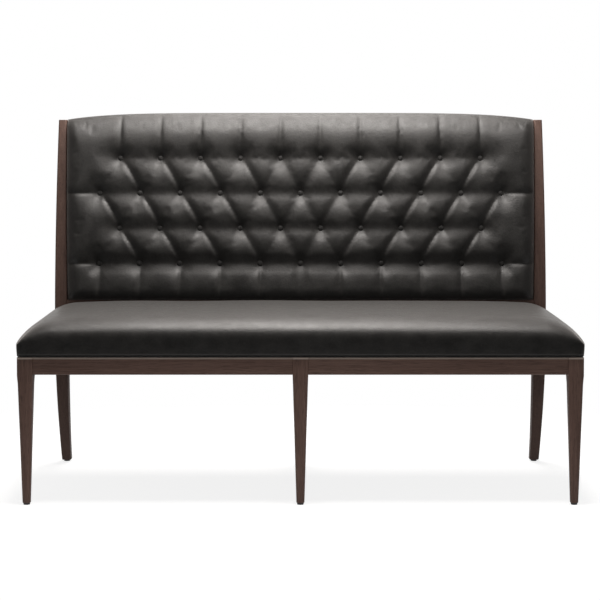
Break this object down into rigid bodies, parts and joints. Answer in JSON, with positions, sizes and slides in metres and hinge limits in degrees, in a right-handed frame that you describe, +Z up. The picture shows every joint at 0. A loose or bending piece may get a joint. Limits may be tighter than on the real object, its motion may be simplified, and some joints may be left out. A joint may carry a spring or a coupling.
{
  "type": "dining bench",
  "caption": "Free-standing dining bench with a crowned leather seat, a diamond-tufted leather back between sabre-curved wooden posts, and square tapered wooden legs.",
  "frame": {"origin": "on the floor under the middle of the bench's box", "axes": "+X along the bench to the right as seen from the front, -Y out of the front, +Z up"},
  "size_m": [1.534, 0.615, 1.066],
  "materials": {
    "walnut": "dark walnut stain under a satin lacquer",
    "pale_wood": "bare hardwood",
    "plywood": "bare plywood",
    "steel": "zinc plated",
    "glide_plastic": "moulded black",
    "leather": "semi-gloss charcoal upholstery leather",
    "foam": "polyurethane foam",
    "lining": "woven black lining"
  },
  "bodies": {
    "root": {"back_board": "plywood", "back_bottom_rail": "pale_wood", "back_cover": "leather", "back_dowels": "pale_wood", "back_foam": "foam", "back_lower_rail": "walnut", "back_muntin_left": "pale_wood", "back_muntin_right": "pale_wood", "back_stile_left": "pale_wood", "back_stile_right": "pale_wood", "back_top_rail": "pale_wood", "centre_stretcher": "walnut", "corner_block_front_left": "pale_wood", "corner_block_front_right": "pale_wood", "corner_block_rear_left": "pale_wood", "corner_block_rear_right": "pale_wood", "corner_block_screws": "steel", "foot_glides": "glide_plastic", "front_leg_centre": "walnut", "front_leg_left": "walnut", "front_leg_right": "walnut", "front_rail_left": "walnut", "front_rail_right": "walnut", "outside_back": "leather", "rail_dowels": "pale_wood", "rear_leg_centre": "walnut", "rear_post_left": "walnut", "rear_post_right": "walnut", "rear_rail_left": "walnut", "rear_rail_right": "walnut", "seat_board": "plywood", "seat_cover": "leather", "seat_dust_cover": "lining", "seat_foam": "foam", "seat_screws": "steel", "side_rail_left": "walnut", "side_rail_right": "walnut", "tuft_buttons": "leather", "tuft_twines": "lining", "twine_toggles": "steel"}
  },
  "joints": []
}
